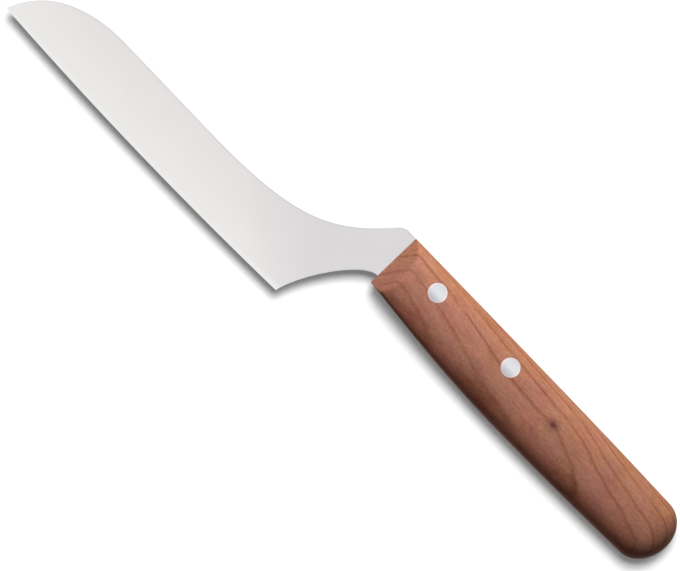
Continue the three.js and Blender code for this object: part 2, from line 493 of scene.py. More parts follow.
@dataclass(frozen=True)
class GroundMetal(Finish):
    """Bare metal with the marks of a grinding belt."""

    line_width: float
    line_length: float

    def lines(self, board: FinishBoard, place: Socket) -> Socket:
        """Places the grind marks, 0 to 1, with X of the place across them."""
        inputs = {"Place": place, "Width": self.line_width, "Length": self.line_length}
        return board.group(board.effects.grind, **inputs)

    def metal(self, board: FinishBoard, colour: Socket, lines: Socket) -> dict[str, Setting]:
        """Settings of a bare metal.

        Args:
            board: Board of the finish.
            colour: Its colour.
            lines: Its grind marks.

        Returns:
            Settings of the shader, by input name.
        """
        return {
            "Base Color": colour,
            "Metallic": 1.0,
            "Roughness": board.spread(lines, UNIT, self.roughness),
            "Normal": self.relief(board, lines),
        }


@dataclass(frozen=True)
class SatinSteel(GroundMetal):
    """Stainless steel, fine ground across the blade, painted darker towards the spine as shade and
    brighter on the sharpened bevel as a highlight.
    """

    name: str = "satin_steel"
    roughness: Range = (0.29, 0.34)
    relief_strength: float = 0.4
    relief_depth: float = 0.01
    cloud_size: float = 14.0
    cloud_amount: float = 0.05
    line_width: float = 0.07
    line_length: float = 18.0
    line_tint: Colour = (0.985, 0.985, 0.985)
    ground: Colour = (0.840, 0.830, 0.814)
    # painted shade: the blade darker and pinker towards the spine
    spine_shade: Colour = (0.785, 0.758, 0.756)
    spine_shade_span: Range = (-30.0, -10.0)
    neck: Colour = (0.718, 0.700, 0.707)
    neck_lines: float = 0.5
    grind_end: Point = (0.691, 0.723)  # direction in which the grind runs out
    grind_end_span: Range = (-47.0, -19.0)
    # polished sharpened bevel, painted brighter along the cutting edge as a highlight
    honed_highlight: Colour = (0.87, 0.865, 0.855)

    def surface(self, board: FinishBoard) -> dict[str, Setting]:
        """Grinds the blade, fading to a plainer neck.

        Args:
            board: Board of the finish.

        Returns:
            Settings of the shader, by input name.
        """
        axes = board.axes(board.grid)
        slant = board.math("MULTIPLY", axes["Y"], self.grind_end[1])
        slant = board.math("MULTIPLY_ADD", axes["X"], self.grind_end[0], slant)
        necked = board.ease(slant, self.grind_end_span)
        parts = (
            # painted shade towards the spine
            (board.ease(axes["Y"], self.spine_shade_span), self.spine_shade),
            (necked, self.neck),
            # painted highlight on the sharpened bevel
            (board.attribute("honed_highlight"), self.honed_highlight),
        )
        colour = self.clouded(board, board.layers(self.ground, parts, Mixing.COVER))
        fading = board.spread(necked, UNIT, (1.0, self.neck_lines))
        lines = board.product(self.lines(board, board.grid), fading)
        return self.metal(board, board.layers(colour, [(lines, self.line_tint)]), lines)


@dataclass(frozen=True)
class GroundAluminium(GroundMetal):
    """Aluminium ground flush with the wood, painted darker on the belly side as shade and brighter
    at the rim as a highlight.
    """

    name: str = "ground_aluminium"
    roughness: Range = (0.31, 0.41)
    relief_strength: float = 0.15
    relief_depth: float = 0.01
    cloud_size: float = 2.5
    cloud_amount: float = 0.08
    line_width: float = 0.06
    line_length: float = 3.0
    line_turn: float = 90.0
    middle: Colour = (0.79, 0.80, 0.835)
    # painted shade: each head darker towards its belly side
    head_shade: Colour = (0.52, 0.525, 0.555)
    head_shade_span: Range = (0.1, -0.85)  # of the head's radius, along Y
    # painted highlight: a bright ring round the rim of each head
    rim_highlight: Colour = (1.24, 1.03, 0.97)
    rim_highlight_span: Range = (0.74, 0.90)  # of the head's radius

    def surface(self, board: FinishBoard) -> dict[str, Setting]:
        """Grinds the heads along the handle.

        Args:
            board: Board of the finish.

        Returns:
            Settings of the shader, by input name.
        """
        # painted shade on the belly side of each head
        head_shaded = board.ease(board.attribute("height_share"), self.head_shade_span)
        # painted highlight round the rim
        rim = board.ease(board.attribute("radius_share"), self.rim_highlight_span)
        colour = board.blend(head_shaded, self.middle, self.head_shade)
        colour = self.clouded(board, board.layers(colour, [(rim, self.rim_highlight)]))
        turn = (0.0, 0.0, math.radians(self.line_turn))
        lines = self.lines(board, board.mapped(board.grid, Rotation=turn))
        return self.metal(board, colour, lines)


@dataclass(frozen=True)
class FibreNoise:
    """Noise drawn out along the fibres, by its features in a millimetre each way.

    A span of the noise can be mapped to a result.
    """

    along: float
    across_rings: float
    along_rings: float
    detail: float = 2.0
    rough: float = 0.6
    span: Range = UNIT
    result: Range = UNIT

    def raw(self, board: NodeBoard, fibre: Socket) -> Socket:
        """Places the noise in the space of the fibres and returns it as it is."""
        density = (self.along, self.across_rings, self.along_rings)
        return board.noise(board.mapped(fibre, Scale=density), 1.0, self.detail, self.rough)

    def mapped(self, board: NodeBoard, noise: Socket) -> Socket:
        """Maps the noise from its span to its result."""
        return board.spread(noise, self.span, self.result)

    def value(self, board: NodeBoard, fibre: Socket) -> Socket:
        """Places the noise and returns its result."""
        return self.mapped(board, self.raw(board, fibre))


@dataclass(frozen=True)
class FruitWood(Finish):
    """Oiled fruit wood, with growth rings that run through the whole block."""

    name: str = "fruit_wood"
    roughness: Range = (0.63, 0.47)
    relief_strength: float = 0.2
    relief_depth: float = 0.04
    cloud_size: float = 7.0
    cloud_amount: float = 0.22
    gloss: float = 0.06
    heart: Colour = (0.465, 0.200, 0.136)
    sap: Colour = (0.520, 0.224, 0.124)
    sap_span: Range = (-1.0, 13.0)
    patches: FibreNoise = FibreNoise(0.05, 0.22, 0.2, result=(0.0, 16.0))
    ring_lean: float = 1.48
    ring_lines: Curve = (  # depth and clarity
        (-24.0, 0.6), (-18.0, 0.7), (-12.25, 0.6), (-7.2, 0.6), (-0.3, 0.85), (6.35, 0.85),
        (11.55, 0.8), (17.5, 0.85), (23.5, 0.75), (29.5, 0.8), (35.0, 0.6), (41.0, 0.7),
        (47.0, 0.6),
    )
    ring_course: tuple[tuple[float, RingTone], ...] = (  # from one line to the next
        (0.0, RingTone.LINE), (0.025, RingTone.LINE), (0.06, RingTone.HALF_LINE),
        (0.11, RingTone.PLAIN), (0.42, RingTone.PLAIN), (0.66, RingTone.LATE),
        (0.84, RingTone.PLAIN), (0.925, RingTone.HALF_LINE), (0.97, RingTone.LINE),
    )
    ring_drift: Curve = (  # along the handle
        (0.0, 0.0), (20.0, 3.1), (40.0, 7.4), (55.0, 9.1), (70.0, 11.0), (85.0, 16.0),
        (114.0, 23.0),
    )
    drift_reach: Range = (0.0, 25.0)
    sway: FibreNoise = FibreNoise(
        0.0385, 0.11, 0.11, rough=0.5, span=NOISE_REACH, result=(-0.6, 0.6)
    )
    ragged: FibreNoise = FibreNoise(0.35, 1.2, 1.2, span=NOISE_REACH, result=(-0.25, 0.25))
    fading: FibreNoise = FibreNoise(0.06, 0.1, 0.12, 1.0, span=(0.3, 0.7), result=(0.6, 1.2))
    line_tint: Colour = (0.70, 0.60, 0.54)
    late_tint: Colour = (1.05, 1.06, 1.07)
    hairlines: FibreNoise = FibreNoise(0.03, 3.0, 0.3, 1.0, span=(0.54, 0.70), result=(0.0, 0.7))
    # painted shade: the wood darker and redder towards the belly
    belly_shade_tint: Colour = (1.0, 0.85, 0.79)
    belly_shade_span: Range = (-4.5, -10.5)
    # dark patches along the belly side, partly wood figure and partly painted shade
    figure_and_shade_places: Curve = (  # along the handle
        (0.0, 0.1), (5.0, 0.4), (10.0, 1.0), (17.0, 1.0), (30.0, 0.35), (45.0, 1.0), (54.0, 0.0),
        (64.0, 0.2), (71.0, 0.1), (78.0, 0.7), (92.0, 0.35), (104.0, 0.75), (114.0, 0.8),
    )
    figure_shade_span: Range = (-2.8, -9.0)
    figure_and_shade: FibreNoise = FibreNoise(0.12, 0.4, 0.4, span=(0.3, 0.7), result=(0.3, 1.0))
    figure_and_shade_tint: Colour = (0.62, 0.54, 0.50)
    end_tint: Colour = (0.68, 0.66, 0.69)
    # painted light and shade: lighter at the front end, darker towards the butt
    front_light_tint: Colour = (1.06, 1.06, 1.06)
    butt_shade_tint: Colour = (0.78, 0.755, 0.72)
    butt_shade_shares: Curve = (  # along the handle
        (0.0, 0.0), (50.0, 0.29), (96.0, 0.6), (101.0, 0.7), (107.0, 0.95), (113.5, 1.0),
    )
    streaks: FibreNoise = FibreNoise(0.10, 1.1, 0.9, 3.0, span=NOISE_SWING, result=(0.88, 1.12))
    grain: FibreNoise = FibreNoise(0.75, 2.1, 1.9, 4.0, span=NOISE_SWING, result=(0.79, 1.21))
    flecks: FibreNoise = FibreNoise(0.8, 5.5, 5.0, 1.0, span=(0.63, 0.75), result=(0.0, 0.8))
    fleck_tint: Colour = (0.70, 0.62, 0.58)
    knot: Colour = (0.095, 0.033, 0.033)
    knot_at: tuple[float, float, float] = (65.6, 0.7, 6.8)
    knot_radii: tuple[float, float, float] = (1.65, 1.25, 2.4)
    knot_share: float = 0.82
    knot_span: Range = (0.45, 1.35)
    knot_ragged: float = 0.6
    knot_ragged_density: float = 1.1
    knot_pull: float = 1.2
    knot_pull_reach: float = 4.5
    knot_halo: Colour = (0.70, 0.58, 0.60)
    knot_halo_span: Range = (0.5, 2.3)
    knot_halo_share: float = 0.75

    def surface(self, board: FinishBoard) -> dict[str, Setting]:
        """Grows the rings, the fibres and the knot, and paints shade on the belly and towards the
        butt.

        Args:
            board: Board of the finish.

        Returns:
            Settings of the shader, by input name.
        """
        axes = board.axes(board.grid)
        lean = board.math("MULTIPLY_ADD", axes["Z"], -self.ring_lean, axes["Y"])
        knot_distance = self.knot_distance(board)
        depth = self.ring_depth(board, lean, knot_distance)
        fibre = self.fibre_space(board, depth)
        streaks, grain = (noise.raw(board, fibre) for noise in (self.streaks, self.grain))
        flecks = self.flecks.value(board, fibre)

        patches = board.math("ADD", self.patches.value(board, fibre), lean)
        sapwood = board.ease(patches, self.sap_span)
        hairlines = board.product(self.hairlines.value(board, fibre), sapwood)
        # dark patches on the belly side, partly figure and partly painted shade
        figure_and_shade = board.product(
            board.curve(axes["X"], self.figure_and_shade_places),
            self.figure_and_shade.value(board, fibre),
            board.ease(axes["Y"], self.figure_shade_span),
        )
        # painted shade growing towards the butt
        butt_shade_share = board.curve(axes["X"], self.butt_shade_shares)
        tone = board.product(self.streaks.mapped(board, streaks), self.grain.mapped(board, grain))
        grey = board.add("ShaderNodeCombineColor", {"Red": tone, "Green": tone, "Blue": tone})
        halo = board.ease(knot_distance, self.knot_halo_span, (self.knot_halo_share, 0.0))
        tints = (
            (1.0, self.ring_tint(board, depth, fibre)),
            (hairlines, self.line_tint),
            # painted shade towards the belly
            (board.ease(axes["Y"], self.belly_shade_span), self.belly_shade_tint),
            # dark figure and painted shade on the belly
            (figure_and_shade, self.figure_and_shade_tint),
            (board.attribute("end_grain"), self.end_tint),
            # painted light at the front and painted shade towards the butt
            (1.0, board.blend(butt_shade_share, self.front_light_tint, self.butt_shade_tint)),
            (1.0, grey.outputs["Color"]),
            (flecks, self.fleck_tint),
            (halo, self.knot_halo),
        )
        colour = board.layers(board.blend(sapwood, self.heart, self.sap), tints)
        colour = board.blend(self.knot_mask(board, knot_distance), colour, self.knot)
        heights = board.math("SUBTRACT", board.math("ADD", streaks, grain), flecks)
        return {
            "Base Color": self.clouded(board, colour),
            "Roughness": board.spread(grain, NOISE_SWING, self.roughness),
            "Specular IOR Level": self.gloss,
            "Normal": self.relief(board, heights),
        }

    def ring_depth(self, board: FinishBoard, lean: Socket, knot_distance: Socket) -> Socket:
        """Measures how deep a point lies in the tree, across the rings.

        Args:
            board: Board of the finish.
            lean: Depth of the point where the rings don't drift.
            knot_distance: Its distance from the knot, which the rings bend round.

        Returns:
            Depth in millimetres along Y.
        """
        drift = board.curve(board.axes(board.grid)["X"], self.ring_drift, self.drift_reach)
        depth = board.math("ADD", lean, drift)
        depth = board.math("ADD", depth, self.sway.value(board, board.grid))
        pull = board.ease(knot_distance, (0.0, self.knot_pull_reach), (self.knot_pull, 0.0))
        return board.math("SUBTRACT", depth, pull)

    def fibre_space(self, board: FinishBoard, depth: Socket) -> Socket:
        """Lays a millimetre space along the fibres.

        Args:
            board: Board of the finish.
            depth: Depth of a point across the rings, along Y.

        Returns:
            Place with X along the fibres, Y across the rings and Z along the rings.
        """
        axes = board.axes(board.grid)
        reach = math.hypot(1.0, self.ring_lean)
        across = board.math("DIVIDE", depth, reach)
        side = board.math("MULTIPLY_ADD", axes["Y"], self.ring_lean, axes["Z"])
        parts = {"X": axes["X"], "Y": across, "Z": board.math("DIVIDE", side, reach)}
        return board.add("ShaderNodeCombineXYZ", parts).outputs[0]

    def ring_tint(self, board: FinishBoard, depth: Socket, fibre: Socket) -> Socket:
        """Tints the rings, each with a narrow dark line that comes and goes.

        Args:
            board: Board of the finish.
            depth: Depth across the rings.
            fibre: Space along the fibres.

        Returns:
            The tint, white where the wood is plain.
        """
        tones = {
            RingTone.LINE: self.line_tint,
            RingTone.HALF_LINE: tuple((1.0 + part) / 2 for part in self.line_tint),
            RingTone.PLAIN: WHITE,
            RingTone.LATE: self.late_tint,
        }
        numbered = [(float(index), *line) for index, line in enumerate(self.ring_lines)]
        steps = tuple((place, index) for index, place, _ in numbered)
        clarity = tuple((index, share) for index, _, share in numbered)
        depth = board.math("ADD", depth, self.ragged.value(board, fibre))
        count = board.curve(depth, steps, (0.0, numbered[-1][0]))
        course = [(place, tones[tone]) for place, tone in self.ring_course]
        tint = board.ramp(board.math("FRACT", count), course)
        share = board.curve(board.math("ROUND", count), clarity)
        return board.blend(board.product(share, self.fading.value(board, fibre)), WHITE, tint)

    def knot_distance(self, board: FinishBoard) -> Socket:
        """Measures how far a point is from the small knot in the upper side.

        Args:
            board: Board of the finish.

        Returns:
            The distance, 1 at the knot's rim.
        """
        scale = tuple(1.0 / radius for radius in self.knot_radii)
        shift = tuple(-at / radius for at, radius in zip(self.knot_at, self.knot_radii))
        length = board.add("ShaderNodeVectorMath", operation="LENGTH")
        board.feed(length.inputs[0], board.mapped(board.grid, Location=shift, Scale=scale))
        return length.outputs["Value"]

    def knot_mask(self, board: FinishBoard, knot_distance: Socket) -> Socket:
        """Marks the knot, strongest in its core, with an uneven rim.

        Args:
            board: Board of the finish.
            knot_distance: Distance of a point from the knot.

        Returns:
            Share of the knot's colour.
        """
        noise = board.noise(board.grid, self.knot_ragged_density)
        uneven = board.math("MULTIPLY_ADD", noise, self.knot_ragged, knot_distance)
        return board.ease(uneven, self.knot_span, (self.knot_share, 0.0))


def shares(steps: int) -> list[float]:
    """Even shares from 0 to 1."""
    return [step / steps for step in range(steps + 1)]


def direction(degrees: float) -> Vector:
    """Unit vector at an angle to +X."""
    return Vector((math.cos(math.radians(degrees)), math.sin(math.radians(degrees))))


@dataclass(frozen=True)
class Run:
    """A stretch of outline from left to right, as points along it."""

    points: Curve

    @classmethod
    def through(cls, points: Iterable[Vector]) -> "Run":
        """Makes a run of points."""
        return cls(tuple((point.x, point.y) for point in points))

    @classmethod
    def arc(cls, centre: Vector, radius: float, turns: Range, steps: int) -> "Run":
        """Draws part of a circle.

        Args:
            centre: Its centre.
            radius: Its radius.
            turns: Angles of its start and end, in degrees.
            steps: Number of steps.

        Returns:
            The arc as a run.
        """
        start, end = turns
        angles = [start + (end - start) * share for share in shares(steps)]
        return cls.through(centre + direction(angle) * radius for angle in angles)

    def height(self, x: float) -> float:
        """Measures the height of the outline.

        Args:
            x: Place along the knife.

        Returns:
            Height there.
        """
        places = [point[0] for point in self.points]
        index = min(max(bisect_right(places, x), 1), len(places) - 1)
        (x0, y0), (x1, y1) = self.points[index - 1], self.points[index]
        return y0 + (y1 - y0) * (x - x0) / (x1 - x0)


def verts_in(geometry: list[object]) -> list[bmesh.types.BMVert]:
    """Picks the vertices out of what an operator made."""
    return [item for item in geometry if isinstance(item, bmesh.types.BMVert)]


def lay_grid(
    mesh: bmesh.types.BMesh, columns: int, rows: int
) -> list[tuple[bmesh.types.BMVert, int, int]]:
    """Lays a flat grid of vertices.

    Args:
        mesh: Mesh that gets the grid.
        columns: Number of vertices along X.
        rows: Number of vertices along Y.

    Returns:
        Each vertex with its column and row.
    """
    across, up = columns - 1, rows - 1
    bmesh.ops.create_grid(mesh, x_segments=across, y_segments=up, size=0.5)
    return [
        (vert, round((vert.co.x + 0.5) * across), round((vert.co.y + 0.5) * up))
        for vert in mesh.verts
    ]


def close_mesh(mesh: bmesh.types.BMesh) -> None:
    """Merges doubles and turns the faces outwards."""
    bmesh.ops.remove_doubles(mesh, verts=mesh.verts[:], dist=SAME_POINT)
    bmesh.ops.recalc_face_normals(mesh, faces=mesh.faces[:])


def smooth_mesh(mesh: bmesh.types.BMesh, sharp: float) -> None:
    """Closes a mesh and shades it smooth, apart from its sharp edges.

    Args:
        mesh: The mesh.
        sharp: Angle in degrees from which an edge stays sharp.
    """
    close_mesh(mesh)
    for face in mesh.faces:
        face.smooth = True
    for edge in mesh.edges:
        edge.smooth = edge.calc_face_angle(math.pi) < math.radians(sharp)


def new_piece(name: str, mesh: bmesh.types.BMesh) -> bpy.types.Object:
    """Makes an object of a mesh.

    Args:
        name: Name of the piece.
        mesh: Its mesh, which is freed.

    Returns:
        The piece, still in the mesh's units.
    """
    data = bpy.data.meshes.new(name)
    mesh.to_mesh(data)
    mesh.free()
    piece = bpy.data.objects.new(name, data)
    bpy.context.collection.objects.link(piece)
    return piece


def carve(piece: bpy.types.Object, cutter: bmesh.types.BMesh) -> None:
    """Cuts a shape out of a piece for good.

    Args:
        piece: What is cut.
        cutter: Closed mesh that is taken away; it is used up.
    """
    tool = new_piece("cutter", cutter)
    cut = piece.modifiers.new("cut", "BOOLEAN")
    cut.object = tool
    cut.operation = "DIFFERENCE"
    cut.solver = "EXACT"
    shown = piece.evaluated_get(bpy.context.evaluated_depsgraph_get())
    data = bpy.data.meshes.new_from_object(shown)
    piece.modifiers.clear()
    piece.data = data
    bpy.data.objects.remove(tool)


def split_evenly(piece: bpy.types.Object) -> None:
    """Splits the many-sided faces that cutting leaves into well-shaped triangles.

    Args:
        piece: The piece that was cut.
    """
    mesh = bmesh.new()
    mesh.from_mesh(piece.data)
    many_sided = [face for face in mesh.faces if len(face.verts) > 4]
    bmesh.ops.triangulate(mesh, faces=many_sided, ngon_method="BEAUTY")
    mesh.to_mesh(piece.data)
    mesh.free()


def turned(profile: list[Point], at: Point, steps: int) -> bmesh.types.BMesh:
    """Turns a profile round an upright axis.

    Args:
        profile: Pairs of radius and height, from axis to axis.
        at: Place of the axis.
        steps: Steps of a full turn.

    Returns:
        The closed mesh.
    """
    mesh = bmesh.new()
    points = [mesh.verts.new((at[0] + radius, at[1], height)) for radius, height in profile]
    lines = [mesh.edges.new(pair) for pair in zip(points, points[1:])]
    bmesh.ops.spin(
        mesh,
        geom=points + lines,
        cent=(*at, 0.0),
        axis=(0.0, 0.0, 1.0),
        angle=math.tau,
        steps=steps,
        use_merge=True,
    )
    close_mesh(mesh)
    return mesh


def settle(
    piece: bpy.types.Object, place: Matrix, material: bpy.types.Material, node: str
) -> None:
    """Moves a finished piece into the model's frame and puts it in the place of its node.

    Args:
        piece: The finished piece, in millimetres.
        place: Where the millimetre grid lies in the model's frame.
        material: Its finish.
        node: Node that it stands for.
    """
    piece.data.transform(place)
    piece.data.materials.clear()
    piece.data.materials.append(material)
    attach(piece, "root")
    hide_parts(node)
    LOG.info("%s: %d faces", piece.name, len(piece.data.polygons))


@dataclass
class Handle:
    """Oval wooden handle with a roof-shaped front end, a rounded butt, a slot and rivet bores."""

    length: float = 113.5
    thickness: float = 14.0
    fullness: float = 2.15  # exponent of the oval, 2 for an ellipse
    spine_at_front: float = 9.25
    spine_crown: float = 9.55
    spine_crown_at: float = 72.0
    spine_at_butt: float = 9.15
    belly_at_front: float = 8.8
    belly_depth: float = 11.95
    belly_depth_at: float = 51.5
    belly_at_butt: float = 10.3
    planed_height: float = 0.75  # share of the taller oval that is left at the front
    planed_length: float = 40.0
    planed_crispness: float = 26.0
    butt_rounding: float = 8.0
    butt_apex: float = -0.15
    dome_last_turn: float = 89.0  # of the last ring before the apex
    front_setback: float = 5.5
    front_ridge: float = 1.15
    front_margin: float = 2.5
    front_softness: float = 0.9
    front_steps: int = 32
    body_steps: int = 64
    dome_steps: int = 16
    segments: int = 128
    slot_play: float = 0.03
    slot_overrun: float = 2.0
    bore_play: float = 0.03
    sharp_angle: float = 30.0

    def line(self, x: float, front: float, peak: float, peak_at: float, butt: float) -> float:
        """Draws a long soft curve that peaks once.

        Args:
            x: Place along the handle.
            front: Height at the front end.
            peak: Height at the peak.
            peak_at: Place of the peak.
            butt: Height at the butt.

        Returns:
            Height at the place.
        """
        if x < peak_at:
            return front + (peak - front) * math.sin(x / peak_at * math.pi / 2)
        share = min((x - peak_at) / (self.length - peak_at), 1.0)
        return peak + (butt - peak) * (1.0 - math.cos(share * math.pi / 2))

    def spine(self, x: float) -> float:
        """Height of the spine side."""
        crown, crown_at = self.spine_crown, self.spine_crown_at
        return self.line(x, self.spine_at_front, crown, crown_at, self.spine_at_butt)

    def belly(self, x: float) -> float:
        """Height of the belly side, below the axis."""
        depth, depth_at = self.belly_depth, self.belly_depth_at
        return -self.line(x, self.belly_at_front, depth, depth_at, self.belly_at_butt)

    def oval(self, x: float) -> tuple[float, float]:
        """Half height and middle of the section."""
        half = (self.spine(x) - self.belly(x)) / 2
        return half, self.spine(x) - half

    def side(self, x: float, y: float) -> float:
        """Measures the upper side's surface, in the spine half.

        Args:
            x: Place along the handle.
            y: Height across it.

        Returns:
            Distance of the surface from the middle plane.
        """
        half, middle = self.oval(x)
        share = min(abs(y - middle) / half, 1.0)
        return self.thickness / 2 * (1.0 - share**self.fullness) ** (1.0 / self.fullness)

    def sections(self) -> list[Matrix]:
        """Places the unit section along the handle.

        Returns:
            Its places from the front end to the butt.
        """
        dome_start = self.length - self.butt_rounding
        first = self.front_setback + self.front_margin
        stations = [(first * share, 1.0) for share in shares(self.front_steps)[:-1]]
        for share in shares(self.body_steps):
            stations.append((first + (dome_start - first) * share, 1.0))
        for share in shares(self.dome_steps)[1:]:
            turn = share * math.radians(self.dome_last_turn)
            stations.append((dome_start + self.butt_rounding * math.sin(turn), math.cos(turn)))
        places = []
        for x, size in stations:
            half, middle = self.oval(x)
            scale = Matrix.Diagonal((1.0, half * size, self.thickness / 2 * size, 1.0))
            y = self.butt_apex + (middle - self.butt_apex) * size
            places.append(Matrix.Translation((x, y, 0.0)) @ scale)
        return places

    def body(self) -> bmesh.types.BMesh:
        """Draws the section along the handle and shapes its belly and its front end.

        Returns:
            The handle before it is cut.
        """
        mesh = bmesh.new()
        upright = Matrix.Rotation(math.radians(90.0), 4, "Y")
        made = bmesh.ops.create_circle(
            mesh, cap_ends=True, segments=self.segments, radius=1.0, matrix=upright
        )
        for vert in made["verts"]:
            for axis in (1, 2):
                size = abs(vert.co[axis]) ** (2.0 / self.fullness)
                vert.co[axis] = math.copysign(size, vert.co[axis])
        sections = self.sections()
        bmesh.ops.transform(mesh, matrix=sections[0], verts=mesh.verts[:])
        rim = mesh.edges[:]
        for before, after in zip(sections, sections[1:]):
            grown = bmesh.ops.extrude_edge_only(mesh, edges=rim)["geom"]
            edges = [item for item in grown if isinstance(item, bmesh.types.BMEdge)]
            rim = [edge for edge in edges if edge.is_boundary]
            verts = verts_in(grown)
            bmesh.ops.transform(mesh, matrix=after @ before.inverted(), verts=verts)
        bmesh.ops.pointmerge(mesh, verts=verts, merge_co=(self.length, self.butt_apex, 0.0))
        self.plane_belly(mesh)
        self.roof_front(mesh)
        return mesh

    def plane_belly(self, mesh: bmesh.types.BMesh) -> None:
        """Flattens the belly side towards the front end, as if a taller oval were planed down.

        Args:
            mesh: Mesh of the handle.
        """
        crispness = self.planed_crispness
        for vert in mesh.verts:
            x, y, z = vert.co
            half, middle = self.oval(x)
            if x >= self.planed_length or y >= middle:
                continue
            along = max(x, 0.0) / self.planed_length
            kept = self.planed_height + (1.0 - self.planed_height) * along
            height, width = (middle - y) / half, abs(z) / (self.thickness / 2)
            oval = (kept * height) ** self.fullness + width**self.fullness
            flat = (1.0 - kept**crispness) * height**crispness
            growth = (oval ** (crispness / self.fullness) + flat) ** (-1.0 / crispness)
            vert.co = (x, middle + (y - middle) * growth, z * growth)

    def roof_front(self, mesh: bmesh.types.BMesh) -> None:
        """Slopes both sides down to the narrow front edge, with softly rounded borders.

        Args:
            mesh: Mesh of the handle.
        """
        rise = (self.thickness / 2 - self.front_ridge) / self.front_setback
        for vert in mesh.verts:
            height = abs(vert.co.z)
            over = height - self.front_ridge - rise * vert.co.x
            sloped = min(max(0.5 + 0.5 * over / self.front_softness, 0.0), 1.0)
            height -= over * sloped + self.front_softness * sloped * (1.0 - sloped)
            vert.co.z = math.copysign(height, vert.co.z)

    def slot(self, blade: "Blade") -> bmesh.types.BMesh:
        """Shapes the slot that the tang sits in, open at the front and along the spine.

        Args:
            blade: Blade whose tang the slot takes.

        Returns:
            Closed mesh that is cut away.
        """
        mesh = bmesh.new()
        stations = [-self.slot_overrun] + [x for x in blade.stations() if x >= 0.0]
        half = blade.thickness / 2 + self.slot_play
        outside = self.spine_crown + self.slot_overrun
        for vert, column, row in lay_grid(mesh, len(stations), 2):
            x = stations[column]
            low = min(blade.lower(max(x, 0.0)) - self.slot_play, outside)
            vert.co = (x, low if row == 0 else outside + self.slot_overrun, -half)
        grown = bmesh.ops.extrude_face_region(mesh, geom=mesh.faces[:])["geom"]
        bmesh.ops.translate(mesh, verts=verts_in(grown), vec=(0.0, 0.0, 2 * half))
        bmesh.ops.recalc_face_normals(mesh, faces=mesh.faces[:])
        return mesh

    def build(self, blade: "Blade", rivets: "list[Rivet]") -> bpy.types.Object:
        """Makes the handle with its slot and bores, and marks its end grain.

        Args:
            blade: Blade whose tang the slot takes.
            rivets: Rivets that need bores.

        Returns:
            The piece, in millimetres.
        """
        mesh = self.body()
        smooth_mesh(mesh, self.sharp_angle)
        piece = new_piece("wood_handle", mesh)
        carve(piece, self.slot(blade))
        for rivet in rivets:
            carve(piece, rivet.bore(self.bore_play))
        split_evenly(piece)
        end_grain = piece.data.attributes.new("end_grain", "FLOAT", "CORNER")
        for share, corner in zip(end_grain.data, piece.data.corner_normals):
            share.value = corner.vector.x ** 2
        return piece


